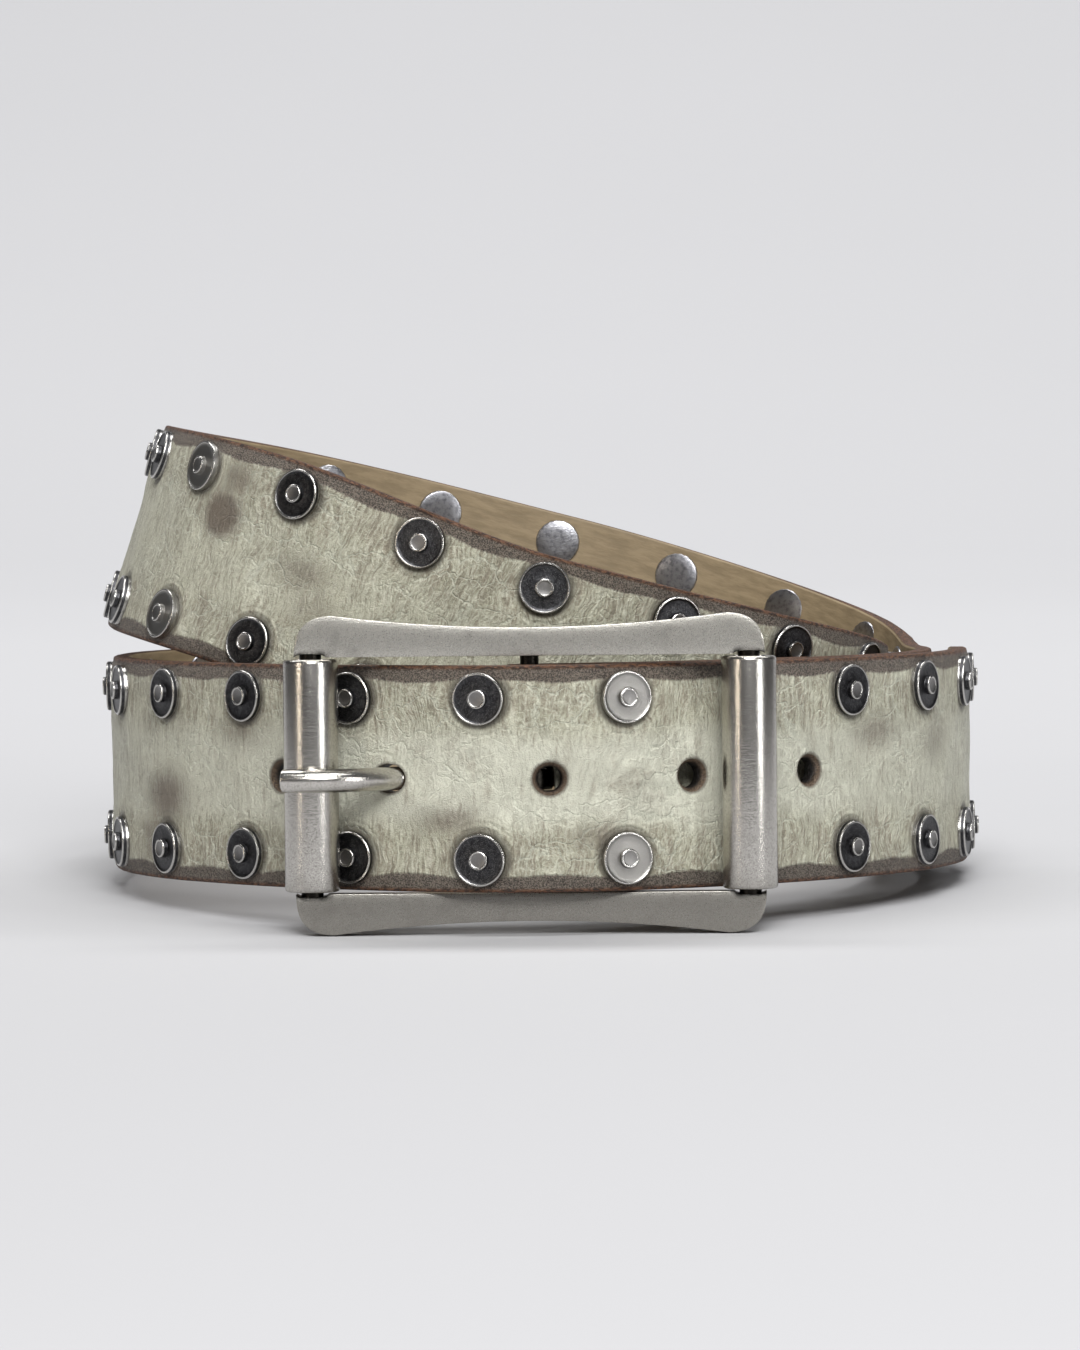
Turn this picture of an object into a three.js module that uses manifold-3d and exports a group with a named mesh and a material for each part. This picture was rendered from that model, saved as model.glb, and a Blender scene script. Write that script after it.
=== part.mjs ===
// A studded leather belt, buckled and coiled in two turns, standing on its lower edges.
// Millimetres, +Z up. The belt is first built level, with the buckle at the front on -Y and the
// lower edges of the outer turn at Z 0. The whole coil is then tipped back by the small angle at
// which it rests on the buckle's bottom bar and on the far edge of the leather.
import * as THREE from "three";
import { mergeVertices } from "three/addons/utils/BufferGeometryUtils.js";
import Module from "manifold-3d";

const wasm = await Module();
wasm.setup();

// Driving dimensions of the leather.
const strapWidth = 38.5;
const strapThickness = 3.4;
const edgeBevel = 0.5;
const skivedThickness = 2.1;
const flapLength = 46;
const tongueLength = 158;
const fit = 0.3;

// Driving dimensions of the studs and holes.
const studPitch = 24.3;
const firstStud = -8.15;
const studInset = 5.6;
const washerDiameter = 9;
const washerHeight = 1.1;
const postDiameter = 3.3;
const postHeight = 0.8;
const holeDiameter = 5.5;
const holeCount = 5;
const holePitch = 25.4;
const middleHole = 3.3;
const prongPull = 2;
const headHeight = 0.6;

// Driving dimensions of the buckle.
const frameLength = 80;
const longBarHeight = 7;
const frameDepth = 4.4;
const frameWaist = 2.2;
const frameCorner = 6.5;
const frameBevel = 0.6;
const strapClearance = 0.9;
const strapSag = 0.6;
const sideBarDiameter = 5;
const sideBarInset = 2.7;
const centreBarDiameter = 3.2;
const rollerDiameter = 9.4;
const prongDiameter = 4;
const prongOverhang = 4.7;

// Driving dimensions of the coil.
const coilHalfWidth = 77;
const coilFront = 96.5;
const leanAngle = 17;

// The frame's opening lets the strap through, and its long bars lie above and below. The strap
// has sunk a little below the opening's middle.
const openingHeight = strapWidth + 2 * strapClearance;
const frameHeight = openingHeight + 2 * longBarHeight;
const frameMiddle = strapWidth / 2 + strapSag;

// The strap's route is given by a direction in degrees that grows by 360 a turn. The buckle is at
// 0, 360 and 720, the right side at 90, the far side at 180 and the left side at 270.
const frontTurn = 720;
const studFaceHeight = washerHeight + postHeight;
const layerStep = strapThickness + studFaceHeight + headHeight + fit;
const frontLayer = 0;

// The buckle's bars lie in one upright plane, behind the tongue by the leather folded round the
// centre bar.
const eyeRadius = centreBarDiameter / 2 + fit + skivedThickness / 2;
const eyeOuter = eyeRadius + skivedThickness / 2;
const barPlane = coilFront - strapThickness / 2 - fit - eyeOuter;
const sideBarOffset = frameLength / 2 - sideBarInset;

// Under each roller the tongue's studs meet the roller where the leather slants by this.
const rollerContactAngle = 34;
const contactReach = rollerDiameter / 2 + fit + studFaceHeight + strapThickness / 2;
const contactAcross = sideBarOffset - contactReach * sin(rollerContactAngle);
const contactFront = barPlane - contactReach * cos(rollerContactAngle);
const contactDirection = degrees(Math.atan2(contactAcross, contactFront));

// Plan of the outermost layer: reach from the coil's middle in each direction, front to back.
const planRows = [
  { direction: 0, reach: coilFront },
  { direction: contactDirection, reach: Math.hypot(contactAcross, contactFront) },
  { direction: 45, reach: 1.067 * coilHalfWidth },
  { direction: 90, reach: 1.0 * coilHalfWidth },
  { direction: 135, reach: 1.08 * coilHalfWidth },
  { direction: 180, reach: 1.02 * coilHalfWidth },
];

// The two turns: how many layers inside the plan, the rise as a share of the strap's width, and
// the lean as a share of the lean angle.
const turnRows = [
  { direction: 0, layer: 1.0, rise: 0, lean: 0 },
  { direction: 45, layer: 1.0, rise: 0, lean: 0 },
  { direction: 90, layer: 1.05, rise: 0, lean: 0 },
  { direction: 110, layer: 1.2, rise: 0.02, lean: 0.1 },
  { direction: 135, layer: 0.95, rise: 0.19, lean: 0.7 },
  { direction: 180, layer: 0.0, rise: 0.65, lean: 1 },
  { direction: 225, layer: 0.0, rise: 1.03, lean: 1 },
  { direction: 270, layer: 0.65, rise: 1.11, lean: 1 },
  { direction: 315, layer: 1.4, rise: 0.98, lean: 1 },
  { direction: 360, layer: 3.9, rise: 0.48, lean: 1 },
  { direction: 405, layer: 2.65, rise: 0.155, lean: 0.7 },
  { direction: 450, layer: 2.45, rise: 0, lean: 0.1 },
  { direction: 495, layer: 2.3, rise: 0, lean: 0 },
  { direction: 540, layer: 1.35, rise: 0, lean: 0 },
  { direction: 585, layer: 0.5, rise: 0, lean: 0 },
  { direction: 630, layer: frontLayer, rise: 0, lean: 0 },
  { direction: 720, layer: frontLayer, rise: 0, lean: 0 },
  { direction: 900, layer: frontLayer, rise: 0, lean: 0 },
];

// The prong's middle line: along as a share of the way to the side bar, out as a share of the
// height at which it lies on the roller.
const prongRows = [
  { along: 0.2, out: -0.08 },
  { along: 0.37, out: -0.16 },
  { along: 0.5, out: -0.2 },
  { along: 0.6, out: -0.05 },
  { along: 0.7, out: 0.38 },
  { along: 0.8, out: 0.76 },
  { along: 0.9, out: 0.97 },
  { along: 1.0, out: 1.0 },
];

function degrees(radians) {
  return (radians * 180) / Math.PI;
}

function sin(angle) {
  return Math.sin((angle * Math.PI) / 180);
}

function cos(angle) {
  return Math.cos((angle * Math.PI) / 180);
}

// A smooth curve through the rows of a table: slopes are means of the two sides.
function smooth(rows, column, at) {
  const last = rows.length - 2;
  let i = 0;
  while (i < last && at > rows[i + 1].direction) {
    i += 1;
  }
  const slopeAt = (k) => {
    const before = rows[Math.max(k - 1, 0)];
    const after = rows[Math.min(k + 1, rows.length - 1)];
    return (after[column] - before[column]) / (after.direction - before.direction);
  };
  const span = rows[i + 1].direction - rows[i].direction;
  const u = THREE.MathUtils.clamp((at - rows[i].direction) / span, 0, 1);
  const fromStart = rows[i][column] * (2 * u ** 3 - 3 * u ** 2 + 1);
  const fromEnd = rows[i + 1][column] * (3 * u ** 2 - 2 * u ** 3);
  const startSlope = slopeAt(i) * span * (u ** 3 - 2 * u ** 2 + u);
  const endSlope = slopeAt(i + 1) * span * (u ** 3 - u ** 2);
  return fromStart + fromEnd + startSlope + endSlope;
}

// The plan is the same on the left as on the right, so its table is mirrored at both ends.
const planMirrored = [
  { direction: -planRows[1].direction, reach: planRows[1].reach },
  ...planRows,
  { direction: 360 - planRows[4].direction, reach: planRows[4].reach },
];

function planReach(direction) {
  const folded = Math.abs(THREE.MathUtils.euclideanModulo(direction + 180, 360) - 180);
  return smooth(planMirrored, "reach", folded);
}

// The middle of the leather's thickness and width in one direction of the route.
function middleAt(direction) {
  const reach = planReach(direction) - layerStep * smooth(turnRows, "layer", direction);
  const height = strapWidth * (0.5 + smooth(turnRows, "rise", direction));
  return new THREE.Vector3(reach * sin(direction), -reach * cos(direction), height);
}

// Where the leather is and how it faces: across is up its width, out is away from the grain face.
function stationAt(direction) {
  const middle = middleAt(direction);
  const ahead = middleAt(direction + 0.2).sub(middleAt(direction - 0.2)).normalize();
  const lean = leanAngle * smooth(turnRows, "lean", direction);
  const across = new THREE.Vector3(sin(lean), 0, cos(lean));
  across.addScaledVector(ahead, -across.dot(ahead)).normalize();
  const out = new THREE.Vector3().crossVectors(ahead, across);
  return { middle, across, out, thickness: strapThickness, width: strapWidth };
}

// Lengths along the route, measured from the buckle: negative towards the hidden turns.
const lengthRows = [];
for (let direction = 0, length = 0; direction <= 900; direction += 1) {
  if (direction > 0) {
    length += middleAt(direction).distanceTo(middleAt(direction - 1));
  }
  lengthRows.push({ direction, length });
}
const lengthAtBuckle = lengthRows[frontTurn].length;

function directionAt(length) {
  const wanted = length + lengthAtBuckle;
  const i = Math.max(1, lengthRows.findIndex((row) => row.length >= wanted));
  const share = (wanted - lengthRows[i - 1].length) / (lengthRows[i].length - lengthRows[i - 1].length);
  return lengthRows[i - 1].direction + share;
}

// Hole places. The prong sits in the hole before the middle one and has pulled it out of line.
const holeLengths = [];
const middleIndex = (holeCount - 1) / 2;
for (let i = -middleIndex; i <= middleIndex; i += 1) {
  holeLengths.push(middleHole + holePitch * i - (i === -1 ? prongPull : 0));
}
const foldReach = 14;
const studFlat = 1.1 * washerDiameter;
const holeFlat = 1.1 * holeDiameter;
const runStart = foldReach - lengthAtBuckle;
const runEnd = tongueLength;
const firstIndex = Math.ceil((runStart - firstStud + washerDiameter) / studPitch);
const lastIndex = Math.floor((runEnd - firstStud - strapWidth / 2) / studPitch);
const studRow = strapWidth / 2 - studInset;

// Stations of the main run: each stud and each hole lies on one flat facet.
function runLengths() {
  const lengths = [];
  for (let i = firstIndex - 1; i <= lastIndex + 1; i += 1) {
    const stud = firstStud + studPitch * i;
    const between = stud + studPitch / 2;
    lengths.push(stud - studFlat / 2, stud + studFlat / 2);
    const hole = holeLengths.find((length) => Math.abs(length - between) < holeDiameter);
    if (hole === undefined) {
      lengths.push(between);
    } else {
      lengths.push(hole - holeFlat / 2, hole + holeFlat / 2);
    }
  }
  return lengths.filter((length) => length > runStart && length < runEnd - strapWidth / 2);
}

// The tongue ends in a half round.
function tipStations() {
  const steps = 5;
  const stations = [];
  for (let i = 0; i < steps; i += 1) {
    const turn = (90 * i) / (steps - 0.6);
    const station = stationAt(directionAt(runEnd - (strapWidth / 2) * (1 - sin(turn))));
    station.width = strapWidth * cos(turn);
    stations.push(station);
  }
  return stations;
}

// The leather's thinner end, from its free edge inside the coil, round the centre bar.
function foldStations(run) {
  const stations = [];
  const inward = strapThickness / 2 + fit + skivedThickness / 2;
  const beside = run.filter((station) => station.middle.x > 0 && station.length < runStart + flapLength);
  for (const station of beside.reverse()) {
    stations.push({
      middle: station.middle.clone().addScaledVector(station.out, -inward),
      across: station.across,
      out: station.out.clone().negate(),
      thickness: skivedThickness,
      width: strapWidth,
    });
  }
  const steps = 8;
  for (let i = 0; i <= steps; i += 1) {
    const turn = (180 * i) / steps;
    const out = new THREE.Vector3(-sin(turn), cos(turn), 0);
    stations.push({
      middle: new THREE.Vector3(0, -barPlane, strapWidth / 2).addScaledVector(out, eyeRadius),
      across: new THREE.Vector3(0, 0, 1),
      out,
      thickness: skivedThickness,
      width: strapWidth,
    });
  }
  return stations;
}

// A bevelled strip through the stations, closed at both ends.
function strapGeometry(stations) {
  const corners = [
    [0.5, 0.5, 0, -1],
    [0.5, 0.5, -1, 0],
    [-0.5, 0.5, 1, 0],
    [-0.5, 0.5, 0, -1],
    [-0.5, -0.5, 0, 1],
    [-0.5, -0.5, 1, 0],
    [0.5, -0.5, -1, 0],
    [0.5, -0.5, 0, 1],
  ];
  const positions = [];
  for (const s of stations) {
    for (const [alongOut, alongAcross, bevelOut, bevelAcross] of corners) {
      const out = alongOut * s.thickness + bevelOut * edgeBevel;
      const across = alongAcross * s.width + bevelAcross * edgeBevel;
      const point = s.middle.clone().addScaledVector(s.out, out).addScaledVector(s.across, across);
      positions.push(point.x, point.y, point.z);
    }
  }
  const sides = corners.length;
  const indices = [];
  for (let i = 0; i + 1 < stations.length; i += 1) {
    for (let k = 0; k < sides; k += 1) {
      const a = i * sides + k;
      const b = i * sides + ((k + 1) % sides);
      indices.push(a, a + sides, b, b, a + sides, b + sides);
    }
  }
  const end = (stations.length - 1) * sides;
  for (let k = 1; k + 1 < sides; k += 1) {
    indices.push(0, k, k + 1);
    indices.push(end, end + k + 1, end + k);
  }
  const geometry = new THREE.BufferGeometry();
  geometry.setAttribute("position", new THREE.Float32BufferAttribute(positions, 3));
  geometry.setIndex(indices);
  return geometry;
}

function solidOf(geometry) {
  const bare = geometry.clone();
  bare.deleteAttribute("normal");
  bare.deleteAttribute("uv");
  const merged = mergeVertices(bare, 1e-4);
  const mesh = new wasm.Mesh({
    numProp: 3,
    vertProperties: new Float32Array(merged.attributes.position.array),
    triVerts: new Uint32Array(merged.index.array),
  });
  return new wasm.Manifold(mesh);
}

function geometryOf(solid) {
  const mesh = solid.getMesh();
  const positions = new Float32Array(mesh.numVert * 3);
  for (let i = 0; i < mesh.numVert; i += 1) {
    positions.set(mesh.vertProperties.subarray(i * mesh.numProp, i * mesh.numProp + 3), i * 3);
  }
  const geometry = new THREE.BufferGeometry();
  geometry.setAttribute("position", new THREE.BufferAttribute(positions, 3));
  geometry.setIndex(new THREE.BufferAttribute(new Uint32Array(mesh.triVerts), 1));
  geometry.computeVertexNormals();
  return geometry;
}

function meshOf(name, solid, material) {
  const mesh = new THREE.Mesh(geometryOf(solid), material);
  mesh.name = name;
  return mesh;
}

// Turns a lathed shape's axis onto a flat facet's outward direction, at a row of the strap.
function placeOnStrap(geometry, length, row) {
  const station = stationAt(directionAt(length));
  const before = stationAt(directionAt(length - studFlat / 2));
  const after = stationAt(directionAt(length + studFlat / 2));
  const middle = before.middle.clone().add(after.middle).multiplyScalar(0.5);
  middle.addScaledVector(station.across, row);
  const along = new THREE.Vector3().crossVectors(station.out, station.across);
  const basis = new THREE.Matrix4().makeBasis(along, station.out, station.across);
  basis.setPosition(middle);
  return geometry.clone().applyMatrix4(basis);
}

// A stud is a round washer rooted in the leather. Over the folded end its shank reaches further in
// and holds the fold shut. The post in its middle is too fine for this model.
function studGeometry(holdsFold) {
  const face = strapThickness / 2;
  const root = face - strapThickness / 3;
  const rim = face + washerHeight;
  const washer = washerDiameter / 2;
  const shankRadius = postDiameter / 2;
  const top = [
    new THREE.Vector2(washer, root),
    new THREE.Vector2(washer, rim),
    new THREE.Vector2(0, rim),
  ];
  const deepRoot = -face - fit - skivedThickness;
  const shank = [
    new THREE.Vector2(0, deepRoot),
    new THREE.Vector2(shankRadius, deepRoot),
    new THREE.Vector2(shankRadius, root),
  ];
  const start = holdsFold ? shank : [new THREE.Vector2(0, root)];
  return new THREE.LatheGeometry([...start, ...top], 10);
}

function strapSolid() {
  const run = runLengths().map((length) => ({ length, ...stationAt(directionAt(length)) }));
  const leather = solidOf(strapGeometry([...foldStations(run), ...run, ...tipStations()]));
  const added = [leather];
  for (let i = firstIndex; i <= lastIndex; i += 1) {
    const length = firstStud + studPitch * i;
    const stud = studGeometry(length < runStart + flapLength - washerDiameter / 2);
    for (const row of [-studRow, studRow]) {
      added.push(solidOf(placeOnStrap(stud, length, row)));
    }
  }
  const cut = [slotSolid(), solidOf(prongTube(prongDiameter / 2 + 2 * fit))];
  const hole = new THREE.CylinderGeometry(holeDiameter / 2, holeDiameter / 2, 3 * strapThickness, 16);
  for (const length of holeLengths) {
    cut.push(solidOf(placeOnStrap(hole, length, 0)));
  }
  return wasm.Manifold.union(added).subtract(wasm.Manifold.union(cut));
}

// The slot in the fold, in which the prong swings on the centre bar.
function slotSolid() {
  const length = eyeOuter + fit + foldReach * 0.7;
  const slot = new THREE.BoxGeometry(length, 2 * (eyeOuter + fit), prongDiameter + 4 * fit);
  slot.translate(length / 2 - eyeOuter - fit, -barPlane, strapWidth / 2);
  return solidOf(slot);
}

// A tube through the prong's rows, from its ring to its flat tip past the left roller.
function prongTube(radius) {
  const lying = rollerDiameter / 2 + fit + prongDiameter / 2;
  const points = prongRows.map(({ along, out }) => {
    return new THREE.Vector3(-along * sideBarOffset, -barPlane - out * lying, strapWidth / 2);
  });
  const first = new THREE.Vector3(-eyeRadius, -barPlane, strapWidth / 2);
  const tipAcross = -sideBarOffset - prongOverhang;
  const tip = new THREE.Vector3(tipAcross, -barPlane - 0.9 * lying, strapWidth / 2);
  const route = new THREE.CatmullRomCurve3([first, ...points, tip], false, "centripetal");
  const section = new THREE.Shape();
  section.absarc(0, 0, radius, 0, 2 * Math.PI);
  const options = { extrudePath: route, steps: 12, curveSegments: 6, bevelEnabled: false };
  return new THREE.ExtrudeGeometry(section, options);
}

// The prong's ring lies round the centre bar, between the two ears of the fold.
function prongSolid() {
  const inner = centreBarDiameter / 2 + fit;
  const half = prongDiameter / 2;
  const profile = [
    new THREE.Vector2(inner, -half),
    new THREE.Vector2(eyeOuter, -half),
    new THREE.Vector2(eyeOuter, half),
    new THREE.Vector2(inner, half),
    new THREE.Vector2(inner, -half),
  ];
  const ring = new THREE.LatheGeometry(profile, 16);
  ring.rotateX(Math.PI / 2);
  ring.translate(0, -barPlane, strapWidth / 2);
  return solidOf(ring).add(solidOf(prongTube(half)));
}

// One long bar of the frame, drawn upright: straight on the strap's side, hollowed on the other.
function longBarGeometry() {
  const halfLength = frameLength / 2 - frameBevel;
  const inside = openingHeight / 2 + frameBevel;
  const outside = frameHeight / 2 - frameBevel;
  const waist = outside - frameWaist;
  const corner = frameCorner - frameBevel;
  const foot = Math.max(inside, outside - corner);
  const outline = new THREE.Shape();
  outline.moveTo(-halfLength, inside);
  outline.lineTo(halfLength, inside);
  outline.lineTo(halfLength, foot);
  outline.quadraticCurveTo(halfLength, outside, halfLength - corner, outside);
  outline.quadraticCurveTo(0, 2 * waist - outside, corner - halfLength, outside);
  outline.quadraticCurveTo(-halfLength, outside, -halfLength, foot);
  const bar = new THREE.ExtrudeGeometry(outline, {
    depth: frameDepth - 2 * frameBevel,
    bevelThickness: frameBevel,
    bevelSize: frameBevel,
    bevelSegments: 1,
    curveSegments: 6,
  });
  return bar.translate(0, 0, frameBevel - frameDepth / 2);
}

function frameSolid() {
  const upper = longBarGeometry().rotateX(Math.PI / 2);
  const lower = longBarGeometry().rotateX(-Math.PI / 2);
  const rootedHeight = openingHeight + 2 * frameBevel;
  const added = [solidOf(upper), solidOf(lower)];
  for (const across of [-sideBarOffset, sideBarOffset]) {
    const bar = new THREE.CylinderGeometry(sideBarDiameter / 2, sideBarDiameter / 2, rootedHeight, 16);
    bar.rotateX(Math.PI / 2).translate(across, 0, 0);
    added.push(solidOf(bar));
  }
  const radius = centreBarDiameter / 2;
  const centre = new THREE.CylinderGeometry(radius, radius, openingHeight + frameDepth, 12);
  added.push(solidOf(centre.rotateX(Math.PI / 2)));
  return wasm.Manifold.union(added).translate([0, -barPlane, frameMiddle]);
}

// A roller is a loose tube on a side bar.
function rollerSolid(across) {
  const inner = sideBarDiameter / 2 + fit;
  const outer = rollerDiameter / 2;
  const half = openingHeight / 2 - 2 * fit;
  const round = 2 * fit;
  const profile = [
    new THREE.Vector2(inner, -half),
    new THREE.Vector2(outer - round, -half),
    new THREE.Vector2(outer, round - half),
    new THREE.Vector2(outer, half - round),
    new THREE.Vector2(outer - round, half),
    new THREE.Vector2(inner, half),
    new THREE.Vector2(inner, -half),
  ];
  const tube = new THREE.LatheGeometry(profile, 20);
  tube.rotateX(Math.PI / 2);
  tube.translate(across, -barPlane, frameMiddle);
  return solidOf(tube);
}

const leatherMaterial = new THREE.MeshStandardMaterial({ color: "#8f8c82", roughness: 0.75 });
const frameMaterial = new THREE.MeshStandardMaterial({ color: "#8d8a84", roughness: 0.4, metalness: 1 });
const rollerMaterial = new THREE.MeshStandardMaterial({ color: "#9c9993", roughness: 0.35, metalness: 1 });
const prongMaterial = new THREE.MeshStandardMaterial({ color: "#a19d97", roughness: 0.35, metalness: 1 });

const coil = new THREE.Group();
coil.add(meshOf("strap", strapSolid(), leatherMaterial));
coil.add(meshOf("buckle_frame", frameSolid(), frameMaterial));
coil.add(meshOf("roller_left", rollerSolid(-sideBarOffset), rollerMaterial));
coil.add(meshOf("roller_right", rollerSolid(sideBarOffset), rollerMaterial));
coil.add(meshOf("prong", prongSolid(), prongMaterial));

// The frame is higher than the strap is wide, so its bottom bar props up the front of the coil.
const overhang = frameHeight / 2 - frameMiddle;
const footBack = middleAt(540).y + strapThickness / 2 - edgeBevel;
const footFront = -barPlane + frameDepth / 2 - frameBevel;
coil.rotation.x = -Math.atan(overhang / (footBack - footFront));

// The origin is the middle of the belt's box on the ground.
const belt = new THREE.Group();
belt.add(coil);
belt.updateMatrixWorld(true);
const box = new THREE.Box3().setFromObject(belt, true);
belt.position.set(-(box.min.x + box.max.x) / 2, -(box.min.y + box.max.y) / 2, -box.min.z);

export default belt;
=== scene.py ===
# %% [markdown]
# A studded leather belt, fastened with a roller buckle and coiled in two turns.
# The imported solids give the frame: where every piece is and how big it is. This lesson dresses
# them. Leather could be sculpted in place, but a belt is cut, punched and riveted while it lies
# flat, and only then coiled. The lesson works in that order too, so its stains, grain and holes
# bend with the strap.

import math
import random

import bmesh
import bpy
import numpy as np
from mathutils import Matrix, Vector


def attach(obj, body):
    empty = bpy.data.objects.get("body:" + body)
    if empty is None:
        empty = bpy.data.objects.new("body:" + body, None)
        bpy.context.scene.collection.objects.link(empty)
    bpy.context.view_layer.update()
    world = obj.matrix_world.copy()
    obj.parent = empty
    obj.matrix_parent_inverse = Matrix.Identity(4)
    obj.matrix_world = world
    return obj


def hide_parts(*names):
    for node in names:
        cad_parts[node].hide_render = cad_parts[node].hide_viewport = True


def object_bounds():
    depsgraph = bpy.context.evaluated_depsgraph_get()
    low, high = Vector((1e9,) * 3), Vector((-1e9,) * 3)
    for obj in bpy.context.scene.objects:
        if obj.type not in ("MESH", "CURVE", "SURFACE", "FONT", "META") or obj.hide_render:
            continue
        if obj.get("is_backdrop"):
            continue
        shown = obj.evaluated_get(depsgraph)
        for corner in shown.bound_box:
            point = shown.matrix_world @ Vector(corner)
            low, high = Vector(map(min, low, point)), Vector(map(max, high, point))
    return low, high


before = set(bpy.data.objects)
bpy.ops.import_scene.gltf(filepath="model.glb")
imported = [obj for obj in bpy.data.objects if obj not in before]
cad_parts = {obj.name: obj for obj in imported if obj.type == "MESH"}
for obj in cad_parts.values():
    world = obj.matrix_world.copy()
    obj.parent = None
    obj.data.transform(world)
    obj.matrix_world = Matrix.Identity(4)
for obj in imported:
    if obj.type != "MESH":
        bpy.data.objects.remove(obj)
cad_low, cad_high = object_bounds()
MM = 0.001
random.seed(4)
print("CAD box", [round(v, 4) for v in cad_low], [round(v, 4) for v in cad_high])

# %% [markdown]
# The route of the strap. It follows directions in degrees that grow by 360 a turn, with the
# buckle at 0, 360 and 720. Two short tables give the plan of the outermost layer, and how far
# inside it the strap lies, how much it rises and how much it leans. A curve object could hold
# the route, but tables keep every layer's distance in plain numbers.

# %% The route's tables
STRAP_WIDTH = 38.5
STRAP_THICKNESS = 3.4
SKIVED_THICKNESS = 2.1
WASHER_HEIGHT = 1.1
FIT = 0.3
STUD_PITCH = 24.3
FIRST_STUD = -8.15
STUD_ROW = 13.65
STUD_INDEXES = range(-38, 7)
HOLE_PITCH = 25.4
MIDDLE_HOLE = 3.3
PRONG_PULL = 2.0
PRONG_HOLE = MIDDLE_HOLE - HOLE_PITCH - PRONG_PULL
FREE_HOLES = [MIDDLE_HOLE + HOLE_PITCH * i for i in (-2, 0, 1, 2)]
TONGUE = 158.0
HALF_WIDTH = 77.0
FRONT = 96.5
LEAN = 17.0
LAYER = 6.2
EYE_RADIUS = 2.95
BARS_BEHIND = 6.0
BAR_PLANE = FRONT - BARS_BEHIND
SIDE_BAR = 37.3

# The strap passes behind each roller, its middle 8.6 mm from the side bar at the nearest.
CONTACT_REACH = 8.6
CONTACT_TURN = math.radians(34)
contact_across = SIDE_BAR - CONTACT_REACH * math.sin(CONTACT_TURN)
contact_front = BAR_PLANE - CONTACT_REACH * math.cos(CONTACT_TURN)
contact = math.degrees(math.atan2(contact_across, contact_front))
contact_plan = math.hypot(contact_across, contact_front)
PLAN_DIRECTIONS = [-contact, 0, contact, 45, 90, 135, 180, 225]
PLAN_REACHES = [contact_plan, FRONT, contact_plan]
PLAN_REACHES += [share * HALF_WIDTH for share in (1.067, 1.0, 1.08, 1.02, 1.08)]
TURNS = np.array([
    # direction, layers inside the plan, rise, lean
    (0, 1.0, 0, 0),
    (45, 1.0, 0, 0),
    (90, 1.05, 0, 0),
    (110, 1.2, 0.02, 0.1),
    (135, 0.95, 0.19, 0.7),
    (180, 0.0, 0.65, 1),
    (225, 0.0, 1.03, 1),
    (270, 0.65, 1.11, 1),
    (315, 1.4, 0.98, 1),
    (360, 3.9, 0.48, 1),
    (405, 2.65, 0.155, 0.7),
    (450, 2.45, 0, 0.1),
    (495, 2.3, 0, 0),
    (540, 1.35, 0, 0),
    (585, 0.5, 0, 0),
    (630, 0, 0, 0),
    (720, 0, 0, 0),
    (900, 0, 0, 0),
])
print("the strap passes the rollers at", round(contact, 1), "degrees")


# %% [markdown]
# A walk along the route. Between two rows of a table the values ease into each other, and every
# direction gets a middle, a way across the strap and a way out of its grain. Distances are summed
# in steps of one degree, so that a place can also be found by its length along the leather.

# %% Walking along the route
def smooth(directions, values, at):
    """A smooth curve through a table: its slope at a row is the mean of the two sides."""
    directions = np.asarray(directions, float)
    values = np.asarray(values, float)
    rows = np.arange(len(directions))
    before, after = np.maximum(rows - 1, 0), np.minimum(rows + 1, rows[-1])
    slopes = (values[after] - values[before]) / (directions[after] - directions[before])
    i = np.clip(np.searchsorted(directions, at) - 1, 0, len(directions) - 2)
    span = directions[i + 1] - directions[i]
    u = np.clip((at - directions[i]) / span, 0, 1)
    level = values[i] * (2 * u**3 - 3 * u**2 + 1) + values[i + 1] * (3 * u**2 - 2 * u**3)
    tilt = slopes[i] * (u**3 - 2 * u**2 + u) + slopes[i + 1] * (u**3 - u**2)
    return level + tilt * span


def middle_at(direction):
    """The middle of the leather's width and thickness, in millimetres."""
    folded = np.abs((direction + 180) % 360 - 180)
    reach = smooth(PLAN_DIRECTIONS, PLAN_REACHES, folded)
    reach = reach - LAYER * smooth(TURNS[:, 0], TURNS[:, 1], direction)
    height = STRAP_WIDTH * (0.5 + smooth(TURNS[:, 0], TURNS[:, 2], direction))
    turn = np.radians(direction)
    return np.stack([reach * np.sin(turn), -reach * np.cos(turn), height], -1)


def unit(vectors):
    return vectors / np.linalg.norm(vectors, axis=-1, keepdims=True)


def stations_at(direction):
    """Where the strap is, which way its width goes and which way its grain face looks."""
    ahead = unit(middle_at(direction + 0.2) - middle_at(direction - 0.2))
    lean = np.radians(LEAN * smooth(TURNS[:, 0], TURNS[:, 3], direction))
    across = np.stack([np.sin(lean), 0 * lean, np.cos(lean)], -1)
    across = unit(across - ahead * np.sum(across * ahead, -1, keepdims=True))
    return middle_at(direction), across, np.cross(ahead, across)


degrees = np.arange(0, 901.0)
steps = np.linalg.norm(np.diff(middle_at(degrees), axis=0), axis=1)
lengths = np.concatenate([[0], np.cumsum(steps)])
AT_BUCKLE = lengths[720]
print("length from the fold to the buckle", round(AT_BUCKLE, 2), "mm")


def direction_at(length):
    """Length is measured along the strap from the buckle, negative towards the hidden turns."""
    return np.interp(np.asarray(length) + AT_BUCKLE, lengths, degrees)


# %% [markdown]
# The strap's thin end goes round the centre bar. Its track is the run's track, then a straight
# bit to the bar, half a circle, and back inside the run. All of it becomes one list of places
# with their distance along the leather, and any point of the flat strap can be looked up in it.

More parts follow.
